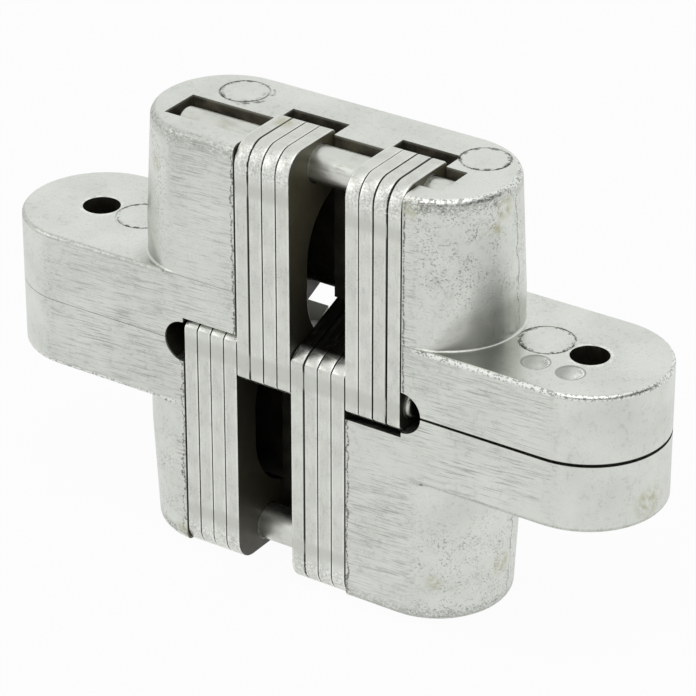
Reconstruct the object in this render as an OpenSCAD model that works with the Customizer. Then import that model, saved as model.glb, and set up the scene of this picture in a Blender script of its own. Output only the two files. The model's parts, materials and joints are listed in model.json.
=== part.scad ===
// Concealed mortise hinge, shown closed. Two identical die-cast leaves lie face to face on a
// horizontal seam and are joined by a pack of stamped scissor links on five pins.
// X runs along the leaves, Y from the front of the link pack to the opening edge, Z away from the seam.
// The origin is the middle of the seam. The lower half is the upper half turned half a turn about Y.
// Pockets and links are drawn in a leaf's own section: depth from the front face, height from the seam.

/* [Leaf flange] */
// Overall length of each leaf
leaf_length = 70; // [64:0.5:78]
// Depth of each leaf, front face to opening edge
leaf_width = 15.5; // [15.3:0.1:17]
// Thickness of the flange that carries the screws
flange_thickness = 7; // [6.8:0.1:8]
// Gap between the two leaves when closed
seam_gap = 0.3; // [0.2:0.05:0.5]
// Rounding of the flange's outer edge
flange_edge_r = 0.45; // [0.2:0.05:0.8]

/* [Boss] */
// Length of the boss where it leaves the flange
boss_length = 39.4; // [38:0.2:44]
// Depth of the boss from the front face
boss_width = 14.6; // [14:0.1:15.2]
// Height of the boss's flat end above the seam
boss_height = 21.9; // [20.5:0.1:23]
// Draft of the boss's round ends in degrees
boss_draft = 2.6; // [1:0.1:4]
// Rounding around the boss's flat end
boss_edge_r = 0.9; // [0.4:0.1:1.4]
// Fillet where the boss leaves the flange
boss_root_r = 0.25; // [0.2:0.05:0.8]

/* [Screw holes] */
// Hole for the wood screw
screw_hole_d = 3.7; // [3.2:0.1:4.2]
// Distance between the two screw holes
screw_spacing = 54.6; // [52:0.2:58]
// Countersink across the seam face
countersink_d = 7.2; // [6:0.1:8]
// Countersink angle in degrees
countersink_angle = 90; // [80:1:100]

/* [Casting marks] */
// Ejector ring on the flange
flange_mark_d = 5.2; // [3:0.1:6]
// Distance of the flange's ejector rings from the middle
flange_mark_x = 22.6; // [22:0.1:23.5]
// Ejector ring on the boss's flat end
boss_mark_d = 4.7; // [3:0.1:6]
// Width of the ejector rings' groove
mark_width = 0.2; // [0.1:0.02:0.4]
// Depth of the ejector rings' groove
mark_depth = 0.12; // [0.05:0.01:0.2]
// Width of the two round dimples beside one screw hole
dimple_d = 2.6; // [1.5:0.1:3]
// Depth of the dimples
dimple_depth = 0.35; // [0.1:0.05:0.6]

/* [Link leaves] */
// Thickness of one stamped leaf
sheet = 1.42; // [1.2:0.02:1.6]
// Gap between neighbouring leaves
sheet_gap = 0.09; // [0.05:0.01:0.15]
// Leaves in one stack
stack_leaves = 4; // [4]
// Width of the long arm at its waist
arm_width = 3; // [2.6:0.1:3.2]
// Radius of the hollow in the long arm's back edge
hollow_r = 6.6; // [6:0.1:7.2]
// Height of the hollow's upper centre above the seam
hollow_top = 10.2; // [9.5:0.1:10.6]
// Radius of the elbow around the centre pin
elbow_r = 2.8; // [2.5:0.05:2.9]
// Radius of the eye around the pivot pin
eye_r = 2.5; // [2.2:0.05:2.6]
// Depth of the head around the guide pin
head_depth = 7.7; // [7:0.1:8.2]
// Rounding of the head's front corner
head_corner_r = 2.4; // [1.5:0.1:3]
// Rounding of the head's back corner
head_back_r = 0.6; // [0.3:0.1:1.2]
// How far the head stands above the boss's flat end
head_rise = 0.46; // [0.2:0.02:0.8]

/* [Pins] */
// Depth of the centre pin's axis behind the front face
centre_depth = 2.3; // [2.1:0.05:2.4]
// Centre pin diameter
centre_pin_d = 2.9; // [2.4:0.1:3]
// How far the centre pin stands out of the link pack at each end
centre_pin_overhang = 0.5; // [0.3:0.1:0.9]
// Guide pin diameter
guide_pin_d = 3.6; // [3.4:0.05:3.7]
// Guide pin length
guide_pin_length = 29.2; // [28:0.1:29.4]
// How far the guide pin and its slot sit off the middle
guide_shift = 0.35; // [0:0.05:0.45]
// Pivot pin diameter
pivot_pin_d = 2.4; // [2:0.1:2.5]
// How far the pivot pin runs into the casting at each end
pivot_pin_seat = 1.8; // [1:0.1:2.5]
// Radial running clearance of a pin in a link
pin_clearance = 0.04; // [0.02:0.01:0.08]

/* [Mechanism] */
// Depth of the guide pin's axis behind the front face
guide_depth = 5; // [4.9:0.1:5.2]
// Distance from the guide pin's axis up to the head's top
guide_cover = 2.46; // [2.2:0.02:2.8]
// Depth of the pivot pin's axis behind the front face
pivot_depth = 12.8; // [12.6:0.05:13]
// Height of the pivot pin's axis above the seam
pivot_height = 4.2; // [4:0.05:4.4]
// How far the hinge opens in degrees
open_angle = 180; // [150:5:180]
// Turn of the two link sets against each other, per turn of a link set on its pivot
scissor_ratio = 0.48; // [0.46:0.01:0.5]

/* [Pockets] */
// Clearance beside the link pack
pack_clearance = 0.12; // [0.08:0.02:0.25]
// Clearance around the short arm in its pocket
short_arm_clearance = 0.45; // [0.3:0.05:0.5]
// Depth of the pocket for the long arms
long_pocket_depth = 9.8; // [9.7:0.1:10.4]
// Height of the notch that the long arms leave through in the back edge
back_notch = 1.15; // [1.1:0.05:1.6]
// Clearance around the guide pin at the mouth of its slot
guide_mouth_clearance = 0.5; // [0.4:0.05:0.7]
// Clearance around the guide pin along its travel
guide_clearance = 0.14; // [0.1:0.02:0.3]
// Room beyond each end of the guide pin at the mouth of its slot
guide_mouth_end = 0.25; // [0.2:0.05:0.6]
// Further room at the mouth's left end
guide_mouth_extra = 0.5; // [0:0.1:0.8]
// Room beyond each end of the guide pin along its travel
guide_end_clearance = 0.15; // [0.1:0.05:0.2]
// Length of the relief around the centre pin
relief_length = 28.6; // [27:0.2:30]
// Height of the relief around the centre pin, both leaves together
relief_height = 4.2; // [3.8:0.1:4.6]
// Room behind the centre pin in its relief
relief_room = 0.9; // [0.5:0.1:1.2]

/* [Hidden] */
$fn = 96;

zinc = "#c8cac6";
plated_steel = "#d3d5d2";
bright_steel = "#bfc0bc";

// How far cutting shapes run past the surfaces they cut
past = 1;

// The link pack, along X: lower, upper, lower and upper stack
pitch = sheet + sheet_gap;
stack_w = stack_leaves * pitch;
pack_w = 4 * stack_w;
upper_stacks = [-stack_w, stack_w];
lower_stacks = [-2 * stack_w, 0];

// Pin places in a leaf's section, as [depth, height]
link_top = boss_height + head_rise;
elbow = [centre_depth, 0];
guide = [guide_depth, link_top - guide_cover];
pivot = [pivot_depth, pivot_height];
far_pivot = [pivot_depth, -pivot_height];

// Short arm: its slope, its length and the angle it turns through on its pivot
arm_slope = atan2(pivot[1] - elbow[1], pivot[0] - elbow[0]);
swing = open_angle / (2 - scissor_ratio);

// Hollow in the long arm's back edge: its lower end bites a hair into the tapering short arm's edge
hollow_bite = 0.1;
hollow_place = 0.37;
hollow_depth = arm_width + hollow_r;
hollow_reach = hollow_r + elbow_r + (eye_r - elbow_r) * hollow_place - hollow_bite;
hollow_low = hollow_reach / cos(arm_slope) - (hollow_depth - elbow[0]) * tan(arm_slope);

// Path of the guide pin in its leaf while the hinge opens
function along(angle) = [cos(angle), sin(angle)];
function turned(p, angle) = [p[0] * cos(angle) - p[1] * sin(angle), p[0] * sin(angle) + p[1] * cos(angle)];
function guide_at(opening) =
    let (link_turn = opening / (2 - scissor_ratio))
    pivot + turned(elbow - pivot, link_turn) + turned(guide - elbow, opening - link_turn);
path_step = 15;
guide_path = [for (opening = [0 : path_step : open_angle]) guide_at(opening)];
path_front = min([for (p = guide_path) p[0]]);
path_back = max([for (p = guide_path) p[0]]);
path_low = min([for (p = guide_path) p[1]]);
guide_r = guide_pin_d / 2;
// The path slopes, so its edge lies a little further off than the pin's radius
slope_allowance = 1.1;
guide_reach = guide_r * slope_allowance + guide_clearance;
slot_front = path_front - guide_reach;
slot_back = path_back + guide_r + guide_clearance;
slot_low = path_low - guide_r - guide_clearance;
mouth_front = guide[0] - guide_r - guide_mouth_clearance;
slot_half = guide_pin_length / 2 + guide_end_clearance;
mouth_half = guide_pin_length / 2 + guide_mouth_end;

// Casting lug that carries the pivot pin between the link stacks
lug_nose = pivot + [-0.5, -1];
lug_rise = 2.4;

// Ends of the boss are cones, trimmed to a foot with flat sides and round ends
boss_top_r = boss_width / 2;
boss_rise = boss_height - flange_thickness;
boss_base_r = boss_top_r + boss_rise * tan(boss_draft);
boss_end_x = boss_length / 2 - boss_base_r;
boss_foot_trim = 0.05;
boss_foot_x = boss_length / 2 - boss_top_r - boss_foot_trim;
// The boss is set into the flange by half the flange's thickness
boss_sunk = flange_thickness / 2;

// Marks on the casting, measured from the front face
flange_mark_depth = 8.1;
boss_mark_places = [[-12.1, 10.5], [14.3, 10.5]];
dimple_places = [[23.9, 4], [27.5, 4]];

// Turns a leaf's section upright: depth along Y and height along Z, drawn out along X
module section(x0, x1) {
    translate([x0, -leaf_width / 2, 0])
        rotate([90, 0, 90])
            linear_extrude(x1 - x0)
                children();
}

// Solid of revolution about an upright axis, half a turn on the +X side
module half_turn(x, depth, z) {
    translate([x, depth - leaf_width / 2, z])
        rotate([0, 0, -90])
            rotate_extrude(angle = 180)
                children();
}

// Half profile of a round end, with a rounded outer edge
module end_profile(base_r, top_r, height, edge_r) {
    polygon([[0, 0], [base_r, 0], [top_r, height - edge_r], [top_r - edge_r, height], [0, height]]);
    translate([top_r - edge_r, height - edge_r])
        circle(edge_r);
}

// Straight profile between the round ends
module bar_profile(depth, height, edge_r) {
    translate([0, 0])
        square([depth, height - edge_r]);
    translate([edge_r, height - 2 * edge_r])
        square([depth - 2 * edge_r, 2 * edge_r]);
    for (d = [edge_r, depth - edge_r])
        translate([d, height - edge_r])
            circle(edge_r);
}

module both_ends() {
    children();
    mirror([1, 0, 0])
        children();
}

module flange_body() {
    end_r = leaf_width / 2;
    height = flange_thickness - seam_gap / 2;
    straight = leaf_length / 2 - end_r;
    translate([0, 0, seam_gap / 2]) {
        section(-straight, straight)
            bar_profile(leaf_width, height, flange_edge_r);
        both_ends()
            half_turn(straight, end_r, 0)
                end_profile(end_r, end_r, height, flange_edge_r);
    }
}

module boss_body() {
    low = flange_thickness - boss_sunk;
    translate([0, 0, low])
        section(-boss_end_x, boss_end_x)
            bar_profile(boss_width, boss_rise + boss_sunk, boss_edge_r);
    intersection() {
        both_ends()
            half_turn(boss_end_x, boss_top_r, low) {
                square([boss_base_r, boss_sunk]);
                translate([0, boss_sunk])
                    end_profile(boss_base_r, boss_top_r, boss_rise, boss_edge_r);
            }
        boss_foot();
    }
    intersection() {
        both_ends()
            half_turn(boss_foot_x, boss_top_r, flange_thickness)
                root_profile();
        section(-leaf_length / 2, leaf_length / 2)
            square([boss_width, boss_height]);
    }
}

// Upright foot of the boss, which trims its round ends
module boss_foot() {
    section(-boss_foot_x, boss_foot_x)
        square([boss_width, boss_height + past]);
    both_ends()
        half_turn(boss_foot_x, boss_top_r, 0)
            square([boss_top_r, boss_height + past]);
}

// Small fillet around the foot of the boss's round ends
module root_profile() {
    bite = 0.02;
    foot_r = boss_top_r - bite;
    difference() {
        translate([foot_r - past, -past])
            square([past + boss_root_r, past + boss_root_r]);
        translate([foot_r + boss_root_r, boss_root_r])
            circle(boss_root_r);
    }
}

module screw_holes() {
    head_depth_cs = (countersink_d - screw_hole_d) / 2 / tan(countersink_angle / 2);
    for (x = [-screw_spacing / 2, screw_spacing / 2])
        translate([x, 0, 0]) {
            cylinder(d = screw_hole_d, h = flange_thickness + past);
            translate([0, 0, seam_gap / 2])
                cylinder(d1 = countersink_d, d2 = screw_hole_d, h = head_depth_cs);
            cylinder(d = countersink_d, h = seam_gap / 2);
        }
}

// Ring groove left by a round ejector
module ejector_ring(diameter) {
    difference() {
        cylinder(d = diameter + mark_width, h = past);
        translate([0, 0, -past])
            cylinder(d = diameter - mark_width, h = 3 * past);
    }
}

module casting_marks() {
    for (x = [-flange_mark_x, flange_mark_x])
        translate([x, flange_mark_depth - leaf_width / 2, flange_thickness - mark_depth])
            ejector_ring(flange_mark_d);
    for (place = boss_mark_places)
        translate([place[0], place[1] - leaf_width / 2, boss_height - mark_depth])
            ejector_ring(boss_mark_d);
    dimple_r = (pow(dimple_d / 2, 2) + pow(dimple_depth, 2)) / (2 * dimple_depth);
    for (place = dimple_places)
        translate([place[0], place[1] - leaf_width / 2, flange_thickness + dimple_r - dimple_depth])
            sphere(dimple_r);
}

// Room for the long arms, from the open front to the lug around the pivot pin
module long_arm_pocket() {
    polygon([
        [-past, -past],
        [-past, boss_height + past],
        [long_pocket_depth, boss_height + past],
        [long_pocket_depth, pivot[1] + lug_rise],
        lug_nose,
        [leaf_width, back_notch],
        [leaf_width + past, back_notch],
        [leaf_width + past, -past]
    ]);
}

// Room for the short arms, which turn on the pivot pin and swing out through the back edge
module short_arm_pocket() {
    r = eye_r + short_arm_clearance;
    shut = along(arm_slope);
    open = along(arm_slope + 180 + swing);
    shut_edge = pivot + r * along(arm_slope + 90);
    elbow_edge = elbow + (elbow_r + short_arm_clearance) * along(arm_slope + 90);
    open_edge = pivot + r * along(arm_slope + 270 + swing);
    polygon([
        [-past, -past],
        elbow_edge - shut * (elbow_edge[0] + past) / shut[0],
        elbow_edge,
        shut_edge,
        pivot,
        open_edge,
        open_edge + open * (leaf_width + past - open_edge[0]) / open[0],
        [leaf_width + past, -past]
    ]);
    translate(pivot)
        circle(r);
}

// Opening between the two upper stacks, back to the far side of the guide slot
module middle_window() {
    translate([-past, -past])
        square([slot_back + past, boss_height + 2 * past]);
}

module guide_slot() {
    front_edge = [for (p = guide_path) if (p[1] > path_low + guide_pin_d) p - [guide_reach, 0]];
    polygon(concat(
        [[slot_back, boss_height + past], [mouth_front, boss_height + past]],
        front_edge,
        [[slot_front, slot_low + guide_pin_d], [slot_front, slot_low], [slot_back, slot_low]]
    ));
}

module guide_mouth() {
    translate([mouth_front, guide[1]])
        square([slot_back - mouth_front, link_top]);
}

module centre_relief() {
    r = relief_height / 2;
    reach = relief_length / 2 - r;
    depth = elbow[0] + centre_pin_d / 2 + relief_room;
    translate([0, -leaf_width / 2 - past, 0])
        rotate([-90, 0, 0])
            linear_extrude(depth + past) {
                square([2 * reach, relief_height], center = true);
                for (x = [-reach, reach])
                    translate([x, 0])
                        circle(r);
            }
}

module pin(place, diameter, length) {
    translate([-length / 2, place[0] - leaf_width / 2, place[1]])
        rotate([0, 90, 0])
            cylinder(d = diameter, h = length);
}

module casting() {
    color(zinc)
        difference() {
            union() {
                flange_body();
                boss_body();
            }
            screw_holes();
            casting_marks();
            for (x = upper_stacks)
                section(x - pack_clearance, x + stack_w + pack_clearance)
                    long_arm_pocket();
            for (x = lower_stacks)
                section(x - pack_clearance, x + stack_w + pack_clearance)
                    short_arm_pocket();
            section(0, stack_w)
                middle_window();
            section(-slot_half - guide_shift, slot_half - guide_shift)
                guide_slot();
            section(-mouth_half - guide_shift - guide_mouth_extra, mouth_half - guide_shift)
                guide_mouth();
            centre_relief();
            pin(pivot, pivot_pin_d + pin_clearance, pack_w + 2 * pivot_pin_seat + pin_clearance);
        }
}

// Long arm of a link, widening from the elbow and its waist to the head
module long_arm() {
    crook = elbow + hollow_depth / 2 * along(-arm_slope);
    polygon([
        [0, elbow[1]],
        [0, link_top - head_corner_r],
        [head_corner_r, link_top],
        [head_depth - head_back_r, link_top],
        [head_depth, link_top - head_back_r],
        [head_depth, hollow_low],
        crook,
        elbow
    ]);
}

// Short arm of a link, from the elbow across the seam to the eye in the other leaf
module short_arm() {
    edge = along(90 - arm_slope);
    polygon([
        elbow + elbow_r * edge,
        far_pivot + eye_r * edge,
        far_pivot - eye_r * edge,
        elbow - elbow_r * edge
    ]);
}

module disc(place, r) {
    translate(place)
        circle(r);
}

// One stamped leaf: head around the guide pin, waisted long arm, elbow and short arm with its eye
module stamped_leaf(x0, x1) {
    difference() {
        union() {
            section(x0, x1)
                long_arm();
            section(x0, x1)
                disc([head_corner_r, link_top - head_corner_r], head_corner_r);
            section(x0, x1)
                disc([head_depth - head_back_r, link_top - head_back_r], head_back_r);
            section(x0, x1)
                short_arm();
            difference() {
                section(x0, x1)
                    disc(elbow, elbow_r);
                section(x0 - past, x1 + past)
                    translate([-elbow_r, -2 * elbow_r])
                        square([elbow_r, 4 * elbow_r]);
            }
            section(x0, x1)
                disc(far_pivot, eye_r);
        }
        section(x0 - past, x1 + past)
            translate([arm_width, hollow_low])
                square([2 * hollow_r, hollow_top - hollow_low]);
        for (height = [hollow_low, hollow_top])
            section(x0 - past, x1 + past)
                disc([hollow_depth, height], hollow_r);
        section(x0 - past, x1 + past)
            disc(elbow, centre_pin_d / 2 + pin_clearance);
        section(x0 - past, x1 + past)
            disc(guide, guide_pin_d / 2 + pin_clearance);
        section(x0 - past, x1 + past)
            disc(far_pivot, pivot_pin_d / 2 + pin_clearance);
    }
}

module link(i) {
    stack = floor((i - 1) / stack_leaves);
    place = (i - 1) % stack_leaves;
    x = upper_stacks[stack] + place * pitch + sheet_gap / 2;
    color(plated_steel)
        stamped_leaf(x, x + sheet);
}

module guide_pin() {
    color(bright_steel)
        translate([-guide_shift, 0, 0])
            pin(guide, guide_pin_d, guide_pin_length);
}

module pivot_pin() {
    color(bright_steel)
        pin(pivot, pivot_pin_d, pack_w + 2 * pivot_pin_seat);
}

module centre_pin() {
    color(bright_steel)
        pin(elbow, centre_pin_d, pack_w + 2 * centre_pin_overhang);
}

// The lower half of the hinge
module turned_over() {
    rotate([0, 180, 0])
        children();
}

module upper_casting() casting();
module lower_casting() turned_over() casting();
module upper_pivot_pin() pivot_pin();
module lower_pivot_pin() turned_over() pivot_pin();
module upper_guide_pin() guide_pin();
module lower_guide_pin() turned_over() guide_pin();
module upper_link(i) link(i);
module lower_link(i) turned_over() link(i);

lower_casting();
lower_pivot_pin();
upper_casting();
upper_pivot_pin();
centre_pin();
upper_guide_pin();
lower_guide_pin();
for (i = [1 : 2 * stack_leaves]) {
    upper_link(i);
    lower_link(i);
}
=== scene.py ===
import json
from math import copysign, cos, hypot, radians, sin

import bmesh
import bpy
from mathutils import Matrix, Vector

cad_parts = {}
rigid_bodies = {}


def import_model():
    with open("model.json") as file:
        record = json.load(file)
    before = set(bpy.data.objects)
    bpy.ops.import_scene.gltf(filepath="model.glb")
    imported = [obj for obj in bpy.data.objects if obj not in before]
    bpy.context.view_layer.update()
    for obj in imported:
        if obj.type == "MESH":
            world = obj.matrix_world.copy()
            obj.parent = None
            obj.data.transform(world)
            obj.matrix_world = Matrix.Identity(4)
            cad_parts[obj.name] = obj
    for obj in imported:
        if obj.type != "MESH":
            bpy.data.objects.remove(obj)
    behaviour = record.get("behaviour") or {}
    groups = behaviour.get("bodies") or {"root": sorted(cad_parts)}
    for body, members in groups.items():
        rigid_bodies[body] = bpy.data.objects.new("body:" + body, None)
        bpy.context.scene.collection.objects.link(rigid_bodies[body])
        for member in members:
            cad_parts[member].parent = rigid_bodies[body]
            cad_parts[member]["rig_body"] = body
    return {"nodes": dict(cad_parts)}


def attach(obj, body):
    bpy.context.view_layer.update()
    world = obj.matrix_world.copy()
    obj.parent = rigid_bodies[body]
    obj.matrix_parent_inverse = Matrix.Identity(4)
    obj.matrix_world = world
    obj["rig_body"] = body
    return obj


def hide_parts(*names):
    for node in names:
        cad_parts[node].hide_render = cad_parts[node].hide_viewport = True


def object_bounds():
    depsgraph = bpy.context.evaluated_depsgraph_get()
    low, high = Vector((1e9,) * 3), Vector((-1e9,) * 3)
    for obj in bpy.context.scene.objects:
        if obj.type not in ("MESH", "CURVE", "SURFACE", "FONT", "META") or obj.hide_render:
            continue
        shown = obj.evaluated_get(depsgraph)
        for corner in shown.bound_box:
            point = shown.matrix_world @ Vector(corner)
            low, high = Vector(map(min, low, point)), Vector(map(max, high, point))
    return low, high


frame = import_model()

cad_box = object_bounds()
nodes = frame["nodes"]


# Die-cast leaves. Each leaf is one zinc casting: a flange with round ends, a boss behind it and the
# pockets for the links. It comes from the die with ejector rings and a parting line, and its front
# is linished flat on a belt, which leaves fine streaks along the leaf and slightly soft edges; these
# edges catch the light and are also painted with a highlight.
MM = 0.001
zinc_pale = (0.73, 0.755, 0.705, 1)
zinc_grey = (0.65, 0.67, 0.625, 1)
# The next two are painted light: a highlight and a glint. The dark after them marks scratches and also
# paints shade, and the grey after that is painted shade.
zinc_highlight = (0.83, 0.85, 0.81, 1)
zinc_glint = (0.97, 0.98, 0.95, 1)
zinc_scratch_and_shade = (0.20, 0.205, 0.185, 1)
zinc_foot_shade = (0.30, 0.305, 0.27, 1)
# The skin's black also paints shade, in the pockets and the seam; its grey is painted light at the pockets'
# open edges.
skin_and_shade_black = (0.016, 0.015, 0.011, 1)
skin_brown = (0.15, 0.135, 0.095, 1)
skin_lit_grey = (0.40, 0.40, 0.35, 1)
stain_olive = (0.44, 0.43, 0.29, 1)

# Places on the upper casting, in millimetres from the middle of the seam.
leaf_front, flange_top, boss_top = -7.75, 7.0, 21.9
flange_round_x, boss_round_x, boss_round_y = 27.25, 12.35, -0.45
screw_x, screw_rim_r = 27.3, 2.1
half_seam, shut_half_seam = 0.15, 0.02
rings = (((22.6, 0.35, flange_top), 2.6), ((-22.6, 0.35, flange_top), 2.6),
         ((-12.1, 2.75, boss_top), 2.35), ((14.3, 2.75, boss_top), 2.35))
ring_burrs = ((-9.9, 3.3, boss_top), (-9.8, 2.0, boss_top), (-10.9, 0.7, boss_top))
dimples_x, dimples_y, dimple_r = (23.9, 27.5), -3.75, 1.3
stains = (((13.0, leaf_front, 20.9), 1.3), ((19.25, -1.5, 20.0), 1.7), ((19.0, -2.5, 18.4), 1.0),
          ((-34.7, -1.6, 4.9), 2.3), ((-15.5, -7.0, 17.5), 1.2), ((-19.2, -1.0, 17.0), 1.7))


def softened(node, edge, settle=lambda mesh: None, tight=lambda place: False):
    """A copy of a solid, opened for editing and settled into its place, whose sharp edges are rounded
    by a small radius, apart from those that lie in a tight place."""
    mesh = bmesh.new()
    mesh.from_mesh(nodes[node].data)
    bmesh.ops.remove_doubles(mesh, verts=mesh.verts, dist=0.002 * MM)
    settle(mesh)
    bmesh.ops.dissolve_limit(mesh, angle_limit=radians(1), verts=mesh.verts, edges=mesh.edges)
    sharp = [e for e in mesh.edges if e.is_manifold and e.calc_face_angle(0) > radians(40)
             and not all(tight(v.co / MM) for v in e.verts)]
    bmesh.ops.bevel(mesh, geom=sharp, offset=edge, offset_type="OFFSET", affect="EDGES", segments=2,
                    profile=0.5, material=-1, clamp_overlap=True)
    return mesh


def linked(name, mesh):
    """A new object in the scene, made from an edited mesh."""
    data = bpy.data.meshes.new(name)
    mesh.to_mesh(data)
    mesh.free()
    made = bpy.data.objects.new(name, data)
    bpy.context.scene.collection.objects.link(made)
    return made


def stands_for(mesh, node, materials, crease=40):
    """The edited copy takes the place of its CAD node and moves with its body. Faces that meet at
    more than the crease angle are shaded apart."""
    piece = linked(node + "_soft", mesh)
    piece.data.shade_smooth()
    piece.data.set_sharp_from_angle(angle=radians(crease))
    for material in materials:
        piece.data.materials.append(material)
    even = piece.modifiers.new("even_shading", "WEIGHTED_NORMAL")
    even.keep_sharp = True
    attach(piece, nodes[node]["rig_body"])
    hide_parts(node)


def shader(name):
    """A new material, its node tree and its main shader."""
    material = bpy.data.materials.new(name)
    material.use_nodes = True
    return material, material.node_tree, material.node_tree.nodes["Principled BSDF"]


def feed(tree, socket, value):
    """Links a socket to another one, or sets it to a plain value."""
    if isinstance(value, bpy.types.NodeSocket):
        tree.links.new(value, socket)
    else:
        socket.default_value = value


def put(tree, kind, inputs=(), **settings):
    node = tree.nodes.new(kind)
    for key, value in settings.items():
        setattr(node, key, value)
    for socket, value in dict(inputs).items():
        feed(tree, node.inputs[socket], value)
    return node


def math_of(tree, operation, first, *others):
    """A chain of one kind of maths node: the first value, then each of the others."""
    made = first
    for other in others or (0.0,):
        made = put(tree, "ShaderNodeMath", {0: made, 1: other}, operation=operation).outputs[0]
    return made


def times(tree, *values):
    return math_of(tree, "MULTIPLY", *values)


def total(tree, *values):
    return math_of(tree, "ADD", *values)


def minus(tree, *values):
    return math_of(tree, "SUBTRACT", *values)


def most(tree, *values):
    return math_of(tree, "MAXIMUM", *values)


def size_of(tree, value):
    return math_of(tree, "ABSOLUTE", value)


def apart(tree, a, b):
    return size_of(tree, minus(tree, a, b))


def length(tree, a, b):
    return math_of(tree, "SQRT", total(tree, times(tree, a, a), times(tree, b, b)))


def distance(tree, a, b):
    return put(tree, "ShaderNodeVectorMath", {0: a, 1: b}, operation="DISTANCE").outputs["Value"]


def ramp(tree, value, low, high, to_low=0.0, to_high=1.0):
    made = put(tree, "ShaderNodeMapRange", {0: value, 1: low, 2: high, 3: to_low, 4: to_high},
               interpolation_type="SMOOTHSTEP")
    return made.outputs[0]


def band(tree, value, start, full, waning, end):
    """Rises from start to full, and falls again from waning to end."""
    return times(tree, ramp(tree, value, start, full), ramp(tree, value, end, waning))


def mixed(tree, factor, a, b):
    return put(tree, "ShaderNodeMix", {0: factor, 6: a, 7: b}, data_type="RGBA").outputs[2]


def millimetres(tree, scale=1, turn=(0, 0, 0), shift=(0, 0, 0)):
    """Object coordinates in millimetres, turned, stretched and shifted for a texture."""
    scale = scale if isinstance(scale, tuple) else (scale,) * 3
    place = put(tree, "ShaderNodeTexCoord").outputs["Object"]
    turned = put(tree, "ShaderNodeMapping", {"Vector": place, "Rotation": turn}).outputs[0]
    made = put(tree, "ShaderNodeMapping", {"Vector": turned, "Scale": [s / MM for s in scale],
                                           "Location": shift})
    return made.outputs[0]


def axes(tree):
    return put(tree, "ShaderNodeSeparateXYZ", {0: millimetres(tree)}).outputs


def stretched(tree, place, scale):
    return put(tree, "ShaderNodeMapping", {"Vector": place, "Scale": (scale,) * 3}).outputs[0]


def noise(tree, place, detail=2.0, rough=0.5):
    made = put(tree, "ShaderNodeTexNoise", {"Vector": place, "Scale": 1.0, "Detail": detail,
                                            "Roughness": rough})
    return made.outputs[0]


def bumped(tree, shading, height, strength, depth):
    bump = put(tree, "ShaderNodeBump", {"Height": height, "Strength": strength, "Distance": depth})
    feed(tree, shading.inputs["Normal"], bump.outputs[0])


def group(name, vectors, values, outputs):
    """An empty node group with vector and plain inputs and plain outputs."""
    tree = bpy.data.node_groups.new(name, "ShaderNodeTree")
    for names, way, kind in ((vectors, "INPUT", "NodeSocketVector"), (values, "INPUT", "NodeSocketFloat"),
                             (outputs, "OUTPUT", "NodeSocketFloat")):
        for socket in names:
            tree.interface.new_socket(socket, in_out=way, socket_type=kind)
    return tree, tree.nodes.new("NodeGroupInput").outputs, tree.nodes.new("NodeGroupOutput").inputs


def placed(tree, kind, **inputs):
    return put(tree, "ShaderNodeGroup", inputs, node_tree=kind).outputs


# Belt marks: short fine scratches along the first axis of the coordinates fed in, gathered in patches.
belt_marks, took, gave = group("belt_marks", ("Along", "Patches"), (), ("Scratch", "Height"))
lines = noise(belt_marks, took["Along"], 4.0, 0.62)
where = ramp(belt_marks, noise(belt_marks, took["Patches"]), 0.34, 0.58)
feed(belt_marks, gave["Scratch"], times(belt_marks, ramp(belt_marks, lines, 0.50, 0.68), where))
feed(belt_marks, gave["Height"], times(belt_marks, lines, ramp(belt_marks, where, 0, 1, 0.3, 1.0)))

# Speckle: small pits of uneven size and short crooked scratches in loose clusters, on a fine grain.
speckle, took, gave = group("speckle", ("Place", "Clusters"), (), ("Pit", "Scribble", "Grain", "Cloud"))
grain = noise(speckle, took["Place"], 3.0, 0.7)
cloud = noise(speckle, took["Clusters"], 3.0, 0.6)
clusters = ramp(speckle, cloud, 0.38, 0.58)
crooked = apart(speckle, noise(speckle, stretched(speckle, took["Place"], 0.5)), 0.5)
feed(speckle, gave["Pit"], times(speckle, ramp(speckle, grain, 0.58, 0.65), clusters))
feed(speckle, gave["Scribble"], times(speckle, ramp(speckle, crooked, 0.038, 0.012),
                                      ramp(speckle, grain, 0.49, 0.57), clusters))
feed(speckle, gave["Grain"], grain)
feed(speckle, gave["Cloud"], cloud)

# Round mark: a broken ring line and a soft ragged disc around a centre.
round_mark, took, gave = group("round_mark", ("Place", "Centre"), ("Radius",), ("Ring", "Disc"))
ragged = noise(round_mark, stretched(round_mark, took["Place"], 1.3), 4.0, 0.65)
reach = total(round_mark, distance(round_mark, took["Place"], took["Centre"]),
              ramp(round_mark, ragged, 0.3, 0.7, -0.2, 0.2))
off_ring = apart(round_mark, reach, took["Radius"])
share = math_of(round_mark, "DIVIDE", reach, took["Radius"])
feed(round_mark, gave["Ring"], times(round_mark, ramp(round_mark, off_ring, 0.30, 0.10),
                                     ramp(round_mark, ragged, 0.48, 0.56)))
feed(round_mark, gave["Disc"], times(round_mark, ramp(round_mark, share, 1.0, 0.3),
                                     ramp(round_mark, ragged, 0.35, 0.65)))


def marked(tree, place, centre, radius):
    return placed(tree, round_mark, Place=place, Centre=centre, Radius=radius)


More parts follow.
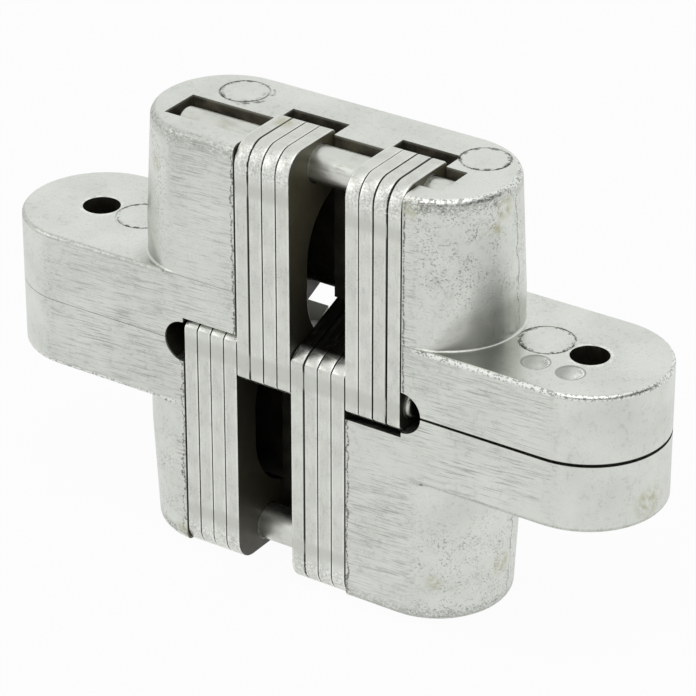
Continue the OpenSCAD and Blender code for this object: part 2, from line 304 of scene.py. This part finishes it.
def casting_zinc(name, side):
    """Outer faces of a casting. The lower casting is the upper one turned over, so its marks turn too."""
    material, tree, zinc = shader(name)
    world = axes(tree)
    x, y, z = times(tree, world[0], side), world[1], times(tree, world[2], side)
    place = put(tree, "ShaderNodeCombineXYZ", {0: x, 1: y, 2: z}).outputs[0]
    far = size_of(tree, x)
    front = ramp(tree, y, leaf_front + 0.20, leaf_front + 0.05)
    belt = placed(tree, belt_marks,
                  Along=millimetres(tree, (0.32, 6.5, 6.5), (0, radians(3), 0), (side, 3, 0)),
                  Patches=millimetres(tree, (0.13, 0.22, 0.26), shift=(4 * side, 0, 2)))
    hairs = placed(tree, belt_marks,
                   Along=millimetres(tree, (0.42, 9.5, 9.5), (0, radians(2), 0), (5, side, 1)),
                   Patches=millimetres(tree, (0.06, 0.1, 0.09), shift=(side, 2, 3)))
    fine = placed(tree, speckle, Place=millimetres(tree, (4.2, 4.2, 5.2)),
                  Clusters=millimetres(tree, 0.45, shift=(0, side, 0)))
    coarse = placed(tree, speckle, Place=millimetres(tree, 1.6),
                    Clusters=millimetres(tree, 0.16, shift=(7, 0, 0)))
    broken = ramp(tree, fine["Grain"], 0.40, 0.52)

    # Round ends are as cast: pitted on their upper half. The linished front is scratched instead.
    rounds = times(tree, ramp(tree, far, 11.8, 13.0), ramp(tree, y, leaf_front + 0.01, leaf_front + 0.25),
                   ramp(tree, z, 8.0, 14.5), ramp(tree, z, boss_top, boss_top - 0.3))
    pits = times(tree, most(tree, fine["Pit"], fine["Scribble"]), ramp(tree, rounds, 0, 1, 0.13, 0.70))
    large_pits = times(tree, most(tree, coarse["Pit"], coarse["Scribble"]), 0.17)
    scratch = times(tree, most(tree, belt["Scratch"], times(tree, hairs["Scratch"], 0.75)), front)
    # Painted shade: the upper left of the upper casting's linished front is darkened towards its top.
    upper_left_shade = times(tree, front, ramp(tree, x, -9.0, -15.0), ramp(tree, z, 9.0, 20.0),
                 0.13 if side > 0 else 0.0)
    tone = mixed(tree, ramp(tree, coarse["Cloud"], 0.30, 0.70), zinc_pale, zinc_grey)
    tone = mixed(tree, ramp(tree, fine["Grain"], 0.40, 0.70, 0.0, 0.40), tone, zinc_grey)
    tone = mixed(tree, times(tree, front, 0.30), tone, zinc_grey)
    for share in (upper_left_shade, times(tree, scratch, 0.50), pits, large_pits):
        tone = mixed(tree, share, tone, zinc_scratch_and_shade)

    # Rims around the boss's flat end and along the flange's outer edge, except where the boss stands
    # flush above it: burnished, with dark nicks, a painted highlight and painted shade towards the left.
    boss_rim = band(tree, z, 21.15, 21.35, 21.74, 21.88)
    past_round = most(tree, minus(tree, far, flange_round_x), 0.0)
    outward = length(tree, past_round, y)
    beside_boss = most(tree, ramp(tree, far, 12.6, 13.8), ramp(tree, y, -7.0, -6.0))
    flange_rim = times(tree, band(tree, z, 6.45, 6.65, 6.94, flange_top), ramp(tree, outward, 7.1, 7.3),
                       beside_boss)
    rim = most(tree, boss_rim, flange_rim)
    nicks = ramp(tree, noise(tree, millimetres(tree, (3.2, 3.2, 5.0)), 3.0, 0.65), 0.50, 0.57)
    bruise = marked(tree, place, (14.7, -6.6, 21.4), 3.2)["Disc"]
    under_rim = times(tree, band(tree, z, 20.2, 20.9, 21.45, 21.75), ramp(tree, bruise, 0, 1, 0.40, 1.0),
                      ramp(tree, fine["Grain"], 0.40, 0.54), 0.90)
    tone = mixed(tree, under_rim, tone, zinc_scratch_and_shade)
    # Painted highlight on the rims, weaker to the left; then painted shade on the left rims, and the nicks.
    tone = mixed(tree, times(tree, rim, ramp(tree, x, -10.0, 10.0, 0.0, 0.8)), tone, zinc_highlight)
    for share in (ramp(tree, x, 0.0, -12.0, 0.0, 0.22),
                  times(tree, nicks, ramp(tree, x, -12.0, 12.0, 0.30, 0.70)),
                  times(tree, nicks, bruise, 0.9)):
        tone = mixed(tree, times(tree, rim, share), tone, zinc_scratch_and_shade)

    # Ragged burr lines where the linished front meets the pockets.
    frayed = ramp(tree, noise(tree, millimetres(tree, 1.1), 3.0, 0.65), 0.3, 0.7, -0.32, 0.32)
    inner = apart(tree, total(tree, x, times(tree, frayed, 0.6)), -6.34)
    outer = apart(tree, total(tree, x, times(tree, frayed, 0.2 if side > 0 else 1.0)), 12.40)
    burr = times(tree, front, ramp(tree, math_of(tree, "MINIMUM", inner, outer), 0.13, 0.04), broken)
    tone = mixed(tree, times(tree, burr, 0.7), tone, zinc_scratch_and_shade)

    # Painted shade: a thin grey film in the corner around the foot of the boss, where boss and flange
    # darken each other's reflection.
    past_foot = most(tree, minus(tree, far, boss_round_x), 0.0)
    from_boss = length(tree, past_foot, minus(tree, y, boss_round_y))
    foot_top = ramp(tree, past_foot, 1.5, 5.5, 0.2, 4.5)
    on_boss = times(tree, ramp(tree, minus(tree, z, flange_top, foot_top), 0.0, -1.6),
                    ramp(tree, z, 7.02, 7.1), ramp(tree, far, 12.4, 13.2), ramp(tree, y, -7.72, -7.5))
    on_flange = times(tree, ramp(tree, from_boss, 9.8, 7.6), ramp(tree, far, 21.0, 14.5),
                      ramp(tree, y, -2.0, -4.5), band(tree, z, 6.9, 6.96, flange_top, 7.06))
    # The film is painted shade, stronger towards the front of the boss.
    film = most(tree, times(tree, on_boss, ramp(tree, y, 4.0, -2.0, 0.1, 0.5)), on_flange)
    tone = mixed(tree, times(tree, film, 0.74 if side > 0 else 0.10), tone, zinc_foot_shade)

    # Parting line of the die, up the outermost line of each round end.
    wander = ramp(tree, noise(tree, millimetres(tree, 0.5), 3.0), 0.3, 0.7, -0.25, 0.25)
    parting = times(tree, ramp(tree, apart(tree, total(tree, y, wander), 0.4), 0.10, 0.03),
                    ramp(tree, far, 15.0, 16.0), band(tree, z, 7.1, 8.0, 20.0, 21.0), broken)

    # Ejector rings. The left ring of the boss has a rough burr around its right side.
    rough_ring = times(tree, marked(tree, place, (-11.9, 2.6, boss_top), 2.65)["Ring"],
                       ramp(tree, x, -11.8, -10.6))
    marks = most(tree, parting, burr, rough_ring, *(marked(tree, place, *ring)["Ring"] for ring in rings),
                 *(marked(tree, place, spot, 0.75)["Disc"] for spot in ring_burrs))
    tone = mixed(tree, times(tree, marks, 0.95), tone, zinc_scratch_and_shade)

    # The two dimples are pressed in clean, with painted light: a thin outline and a wall on the left in
    # painted shade, a painted glint on the right.
    for middle in dimples_x:
        reach = distance(tree, place, (middle, dimples_y, flange_top))
        inside = ramp(tree, reach, dimple_r + 0.02, dimple_r - 0.14)
        outline = ramp(tree, apart(tree, reach, dimple_r), 0.15, 0.05)
        shade = times(tree, inside, ramp(tree, x, middle + 0.3, middle - 0.9), 0.60)
        glint = times(tree, inside, ramp(tree, x, middle, middle + 0.5),
                      ramp(tree, fine["Grain"], 0.42, 0.54))
        tone = mixed(tree, times(tree, outline, 0.65), tone, zinc_scratch_and_shade)
        tone = mixed(tree, shade, tone, zinc_scratch_and_shade)
        tone = mixed(tree, glint, tone, zinc_glint)

    # Painted highlight rings on the rims of the screw holes, and olive stains.
    for middle in (screw_x, -screw_x):
        screw_rim = marked(tree, place, (middle, 0, flange_top), screw_rim_r)["Ring"]
        tone = mixed(tree, screw_rim, tone, zinc_highlight)
    stain = most(tree, *(marked(tree, place, *spot)["Disc"] for spot in stains))
    tone = mixed(tree, times(tree, stain, 0.85), tone, stain_olive)

    # The seam gapes towards its right end; on the left it is a hairline, broken by the belt marks.
    # Its faces are painted black as shade in the gap, wider where it gapes.
    gape = ramp(tree, world[0], -14.0, 35.0, 0.09, 0.22)
    hairline = times(tree, ramp(tree, world[0], -26.0, -33.0, 0.06, 0.45),
                     ramp(tree, fine["Grain"], 0.36, 0.50))
    seam = times(tree, ramp(tree, size_of(tree, z), gape, minus(tree, gape, 0.09)),
                 ramp(tree, outward, 7.55, 7.68), most(tree, ramp(tree, world[0], -6.0, 0.0), hairline))
    feed(tree, zinc.inputs["Base Color"], mixed(tree, seam, tone, skin_and_shade_black))

    flat_top = band(tree, z, 6.85, 6.95, 6.98, 7.08)
    rough = total(tree, ramp(tree, flat_top, 0, 1, 0.30, 0.20), times(tree, coarse["Cloud"], 0.10),
                  times(tree, scratch, 0.15))
    feed(tree, zinc.inputs["Roughness"], rough)
    relief = total(tree, times(tree, belt["Height"], front, 0.7), times(tree, fine["Grain"], 0.35),
                   times(tree, coarse["Cloud"], ramp(tree, rounds, 0, 1, 0.4, 2.4)))
    relief = minus(tree, relief, times(tree, pits, 0.8), times(tree, marks, 0.9))
    bumped(tree, zinc, relief, 0.45, 0.05 * MM)
    zinc.inputs["Metallic"].default_value = 1.0
    return material


# Inside its pockets and screw holes the casting keeps the dark, oily skin of the die, deepened with
# painted shade and painted lighter, browner and greyer towards the openings where light comes in.
die_skin_and_shade, tree, skin = shader("die_skin_and_shade")
world = axes(tree)
height = size_of(tree, world[2])
blotch = noise(tree, millimetres(tree, 0.6), 3.0, 0.6)
# Painted light: grey at the open edges, and brown painted lighter towards the top and the front.
lit_open_edge = most(tree, ramp(tree, world[1], -7.45, -7.7), ramp(tree, height, 21.55, boss_top),
                 ramp(tree, world[1], 4.8, 6.8))
outer_part = most(tree, ramp(tree, height, 18.5, 21.5), ramp(tree, world[1], -4.0, -7.5))
brown = times(tree, ramp(tree, outer_part, 0, 1, 0.12, 1.0), ramp(tree, height, 2.2, 4.5, 0.1, 1.0),
              ramp(tree, blotch, 0.35, 0.70, 0.35, 1.0))
tone = mixed(tree, brown, skin_and_shade_black, skin_brown)
feed(tree, skin.inputs["Base Color"], mixed(tree, times(tree, lit_open_edge, 0.8), tone, skin_lit_grey))
feed(tree, skin.inputs["Roughness"], ramp(tree, blotch, 0.3, 0.7, 0.35, 0.6))
skin.inputs["Metallic"].default_value = 0.4


def close_seam(mesh):
    """The two leaves nearly touch along the left half of the seam and gape towards its right end."""
    for corner in mesh.verts:
        if abs(abs(corner.co.z) - half_seam * MM) < 0.01 * MM:
            opened = min(max((corner.co.x / MM + 14) / 49, 0), 1)
            gap = shut_half_seam + opened * (half_seam - shut_half_seam)
            corner.co.z = copysign(gap * MM, corner.co.z)


def shut(place):
    return abs(place.z) < 0.03 and place.x < -12


for node, side in (("lower_casting", -1), ("upper_casting", 1)):
    mesh = softened(node, 0.10 * MM, close_seam, shut)
    for face in mesh.faces:
        middle = face.calc_center_median() / MM
        x, y, z = side * middle.x, middle.y, side * middle.z
        up = side * face.normal.z
        from_axis = hypot(max(abs(x) - 12.1, 0), y - boss_round_y)
        outer_top = up > 0.2 and (z > 20.95 or 6.9 < z < 7.3)
        in_flange = z < flange_top and abs(x) < 14.6
        in_boss = flange_top <= z < 21.7 and abs(x) < 15.8 and from_axis < 6.75
        pocket = (in_flange or in_boss) and -7.7 < y < 6.8 and not outer_top and up > -0.9
        bore = hypot(abs(x) - screw_x, y) < 1.95 and 0.3 < z < 6.95
        face.material_index = 1 if pocket or bore else 0
    stands_for(mesh, node, (casting_zinc(node + "_zinc", side), die_skin_and_shade), 20)


# Link leaves. They are stamped from steel sheet, tumbled and plated, so their edges are softly
# rolled, and they are stacked four to a set on the pins with hairline gaps between them.
steel_pale = (0.68, 0.70, 0.645, 1)
steel_grey = (0.56, 0.575, 0.53, 1)
# The frost is also the painted highlight of the edges and bends; the oily black also paints shade, and the
# olive shows where that painted shade lifts.
steel_frost_and_highlight = (0.88, 0.89, 0.86, 1)
steel_dark = (0.16, 0.155, 0.13, 1)
oil_and_shade_black = (0.020, 0.019, 0.014, 1)
lit_oil_olive = (0.125, 0.115, 0.072, 1)
leaf_pitch = 1.51
wide_gaps_x = (-3 * leaf_pitch, leaf_pitch, 7 * leaf_pitch)


def link_edge(name, side):
    """Rolled edges of the leaves, seen from the front: painted highlights along each leaf's edges,
    frosted and painted bright where they bend, and painted dark with shade inside.
    """
    material, tree, steel = shader(name)
    world = axes(tree)
    y, z = world[1], times(tree, world[2], side)
    drawn = placed(tree, belt_marks, Along=millimetres(tree, (0.9, 6.0, 6.0), (0, radians(-90), 0)),
                   Patches=millimetres(tree, (0.5, 0.5, 0.2)))
    spots = placed(tree, speckle, Place=millimetres(tree, 5.5),
                   Clusters=millimetres(tree, (0.5, 0.5, 0.35)))
    pitches = math_of(tree, "DIVIDE", total(tree, world[0], 32 * leaf_pitch), leaf_pitch)
    leaf = math_of(tree, "FRACT", pitches)
    off_middle = apart(tree, leaf, 0.5)
    tone = mixed(tree, ramp(tree, spots["Cloud"], 0.30, 0.70, 0.0, 0.5), steel_pale, steel_grey)
    tone = mixed(tree, ramp(tree, spots["Grain"], 0.56, 0.66, 0.0, 0.5), tone, steel_frost_and_highlight)
    # Painted highlight along both rolled edges of every leaf.
    tone = mixed(tree, ramp(tree, off_middle, 0.30, 0.40, 0.0, 0.45), tone, steel_frost_and_highlight)
    tone = mixed(tree, times(tree, drawn["Scratch"], 0.16), tone, steel_dark)
    tone = mixed(tree, times(tree, most(tree, spots["Pit"], spots["Scribble"]), 0.28), tone, steel_dark)

    # Painted shade blackens the gaps between the leaves; it is painted wider at three of them, which stand
    # a little wider open.
    wide = (ramp(tree, apart(tree, world[0], place), 0.17, 0.09) for place in wide_gaps_x)
    gap = most(tree, ramp(tree, off_middle, 0.450, 0.480), *wide)
    tone = mixed(tree, times(tree, gap, 0.85), tone, oil_and_shade_black)

    # The head's bend has a painted highlight, frosted bright with dark nicks over a hammered bump;
    # just under it and at the elbow lies a painted greyer reflection band.
    bend = band(tree, z, 18.8, 19.8, 21.6, 22.3)
    below = band(tree, z, 16.9, 17.7, 18.2, 19.0)
    elbow = band(tree, z, -1.3, -0.5, 0.5, 1.2)
    hammer = noise(tree, millimetres(tree, 4.6), 3.0, 0.7)
    tone = mixed(tree, times(tree, most(tree, below, elbow), 0.85), tone, steel_grey)
    tone = mixed(tree, times(tree, bend, ramp(tree, hammer, 0.50, 0.58), 0.75), tone, steel_frost_and_highlight)
    tone = mixed(tree, times(tree, bend, ramp(tree, hammer, 0.42, 0.36), 0.30), tone, steel_dark)

    # Behind the elbow and in the hollow the leaf is painted black with shade, smeared unevenly.
    short_arm = times(tree, ramp(tree, z, 0.6, -0.6), ramp(tree, y, -6.6, -5.9))
    hollow = times(tree, ramp(tree, y, -4.6, -3.6), ramp(tree, z, 21.5, 20.5))
    smear = noise(tree, millimetres(tree, (0.9, 0.35, 0.35)), 3.0, 0.6)
    hollow_shade = times(tree, most(tree, short_arm, hollow), ramp(tree, smear, 0.62, 0.50, 0.93, 0.985))
    tone = mixed(tree, hollow_shade, tone, oil_and_shade_black)
    if side > 0:
        head_stain = marked(tree, millimetres(tree), (-4.6, -1.6, 22.3), 1.6)["Disc"]
        tone = mixed(tree, times(tree, head_stain, 0.8), tone, stain_olive)
    feed(tree, steel.inputs["Base Color"], tone)
    feed(tree, steel.inputs["Roughness"], total(tree, times(tree, spots["Cloud"], 0.14), 0.26))
    relief = total(tree, times(tree, drawn["Height"], 0.35), times(tree, bend, hammer, 1.5))
    bumped(tree, steel, minus(tree, relief, times(tree, spots["Pit"], 0.6)), 0.45, 0.05 * MM)
    steel.inputs["Metallic"].default_value = 1.0
    return material


def link_flat(name, side):
    """Flat sides of the leaves: never burnished, filmed with oil, and painted with shade that darkens
    them away from the head, more on the lower links.
    """
    material, tree, steel = shader(name)
    z = times(tree, axes(tree)[2], side)
    film = noise(tree, millimetres(tree, 0.5), 4.0, 0.6)
    lit = times(tree, ramp(tree, z, 2.0, 17.0, 0.10, 1.0 if side > 0 else 0.45),
                ramp(tree, film, 0.25, 0.7, 0.7, 1.0))
    feed(tree, steel.inputs["Base Color"], mixed(tree, lit, oil_and_shade_black, lit_oil_olive))
    feed(tree, steel.inputs["Roughness"], ramp(tree, film, 0.3, 0.7, 0.34, 0.5))
    steel.inputs["Metallic"].default_value = 0.2
    return material


# Tumbling rolled some edges further than others, so the gaps between the leaves look uneven.
edge_rolls = {"upper": (0.22, 0.20, 0.10, 0.08, 0.09, 0.11, 0.20, 0.22),
              "lower": (0.12, 0.11, 0.13, 0.10, 0.19, 0.12, 0.11, 0.13)}
for half, side in (("upper", 1), ("lower", -1)):
    finish = (link_edge(half + "_link_edge", side), link_flat(half + "_link_flat", side))
    for i, roll in enumerate(edge_rolls[half], 1):
        node = f"{half}_link_{i}"
        mesh = softened(node, roll * MM)
        for face in mesh.faces:
            face.material_index = 1 if abs(face.normal.x) > 0.98 else 0
        stands_for(mesh, node, finish)


# Pins. They are cut from drawn steel rod with a small chamfer at each end: the centre pin holds all
# the elbows, the guide pins slide in the bosses and the pivot pins are pressed into the castings.
rod_pale = (0.64, 0.66, 0.605, 1)
rod_grey = (0.52, 0.53, 0.48, 1)
end_rounds = {"centre_pin": 0.48, "upper_guide_pin": 0.25, "lower_guide_pin": 0.25,
              "upper_pivot_pin": 0.25, "lower_pivot_pin": 0.25}

rod_steel, tree, rod = shader("rod_steel")
turned = placed(tree, belt_marks, Along=millimetres(tree, (0.5, 4.0, 4.0)),
                Patches=millimetres(tree, (0.2, 0.5, 0.5)))
film = noise(tree, millimetres(tree, (0.35, 0.5, 0.5)), 3.0, 0.6)
tone = mixed(tree, ramp(tree, film, 0.40, 0.65), rod_pale, rod_grey)
tone = mixed(tree, times(tree, turned["Scratch"], 0.4), tone, steel_dark)
feed(tree, rod.inputs["Base Color"], tone)
feed(tree, rod.inputs["Roughness"], ramp(tree, film, 0.3, 0.7, 0.30, 0.38))
bumped(tree, rod, turned["Height"], 0.2, 0.03 * MM)
rod.inputs["Metallic"].default_value = 1.0

for node, end in end_rounds.items():
    stands_for(softened(node, end * MM), node, (rod_steel,))


# Studio floor: a pale sheet under the hinge, white to the camera and in the metal.
def sheet(name, width, height, place, facing):
    mesh = bmesh.new()
    turn = Vector(facing).to_track_quat("Z", "Y").to_matrix().to_4x4()
    bmesh.ops.create_grid(mesh, x_segments=1, y_segments=1, size=0.5)
    bmesh.ops.scale(mesh, verts=mesh.verts, vec=(width, height, 1))
    bmesh.ops.transform(mesh, verts=mesh.verts, matrix=turn)
    bmesh.ops.translate(mesh, verts=mesh.verts, vec=place)
    made = linked(name, mesh)
    return made


floor = sheet("floor", 3.0, 3.0, (0, 0, cad_box[0].z - 0.02 * MM), (0, 0, 1))
paper, tree, pulp = shader("pale_paper")
pulp.inputs["Base Color"].default_value = (0.85, 0.85, 0.84, 1)
pulp.inputs["Roughness"].default_value = 0.9
path = put(tree, "ShaderNodeLightPath").outputs
seen = most(tree, path["Is Camera Ray"], path["Is Glossy Ray"], path["Is Transmission Ray"])
brightness = ramp(tree, path["Is Camera Ray"], 0, 1, 0.99, 1.0)
glow = put(tree, "ShaderNodeEmission", {"Color": (1, 1, 1, 1), "Strength": brightness}).outputs[0]
join = put(tree, "ShaderNodeMixShader", {0: times(tree, seen, 0.95), 1: pulp.outputs[0], 2: glow})
feed(tree, tree.nodes["Material Output"].inputs["Surface"], join.outputs[0])
floor.data.materials.append(paper)

# Grey cards to the right and behind the camera, seen only in the metal, like the dark side of a studio:
# they give the round ends their soft dark zone and the bends a greyer band.
for name, width, height, place, grey in (("right_card", 0.24, 0.20, (0.27, 0.05, 0.15), 0.10),
                                         ("front_card", 0.62, 0.24, (0.27, -0.36, 0.23), 0.22)):
    felt, tree, fibre = shader(name + "_felt")
    fibre.inputs["Base Color"].default_value = (grey, grey, grey * 0.95, 1)
    fibre.inputs["Roughness"].default_value = 1.0
    card = sheet(name, width, height, place, -Vector(place))
    card.visible_camera = card.visible_diffuse = card.visible_shadow = False
    card.data.materials.append(felt)

# Studio light: a pale room, one large soft lamp above and a weaker one from the front left.
room = bpy.data.worlds.new("pale_room")
bpy.context.scene.world = room
room.use_nodes = True
tree = room.node_tree
path = put(tree, "ShaderNodeLightPath").outputs
in_metal = times(tree, most(tree, path["Is Glossy Ray"], path["Is Transmission Ray"]), 0.95)
air = tree.nodes["Background"]
air.inputs["Color"].default_value = (1, 1, 1, 1)
feed(tree, air.inputs["Strength"], most(tree, path["Is Camera Ray"], in_metal, 0.5))

for name, place, size, watts in (("soft_top", (0.10, -0.15, 0.45), 0.40, 0.5),
                                 ("soft_left", (-0.45, -0.35, 0.25), 0.35, 0.3)):
    lamp = bpy.data.lights.new(name, "AREA")
    lamp.energy, lamp.size = watts, size
    lamp_object = bpy.data.objects.new(name, lamp)
    lamp_object.location = place
    lamp_object.rotation_euler = Vector(place).to_track_quat("Z", "Y").to_euler()
    bpy.context.scene.collection.objects.link(lamp_object)

# Camera, where the photograph was taken from: right of the front and above it, with a long lens.
azimuth, elevation, distance_back = radians(33.71), radians(28.43), 0.35539
aim = Vector((1.069, 0.291, -0.264)) * MM
focal_pixels, photo_pixels, film_width = 3787.55, 696, 36
back = Vector((sin(azimuth) * cos(elevation), -cos(azimuth) * cos(elevation), sin(elevation)))
camera = bpy.data.cameras.new("camera")
camera.sensor_width = film_width
camera.lens = focal_pixels / photo_pixels * film_width
camera.clip_start, camera.clip_end = 0.01, 10
camera_object = bpy.data.objects.new("camera", camera)
camera_object.location = aim + back * distance_back
camera_object.rotation_euler = back.to_track_quat("Z", "Y").to_euler()
bpy.context.scene.collection.objects.link(camera_object)
bpy.context.scene.camera = camera_object

bpy.context.scene.view_settings.view_transform = "Standard"
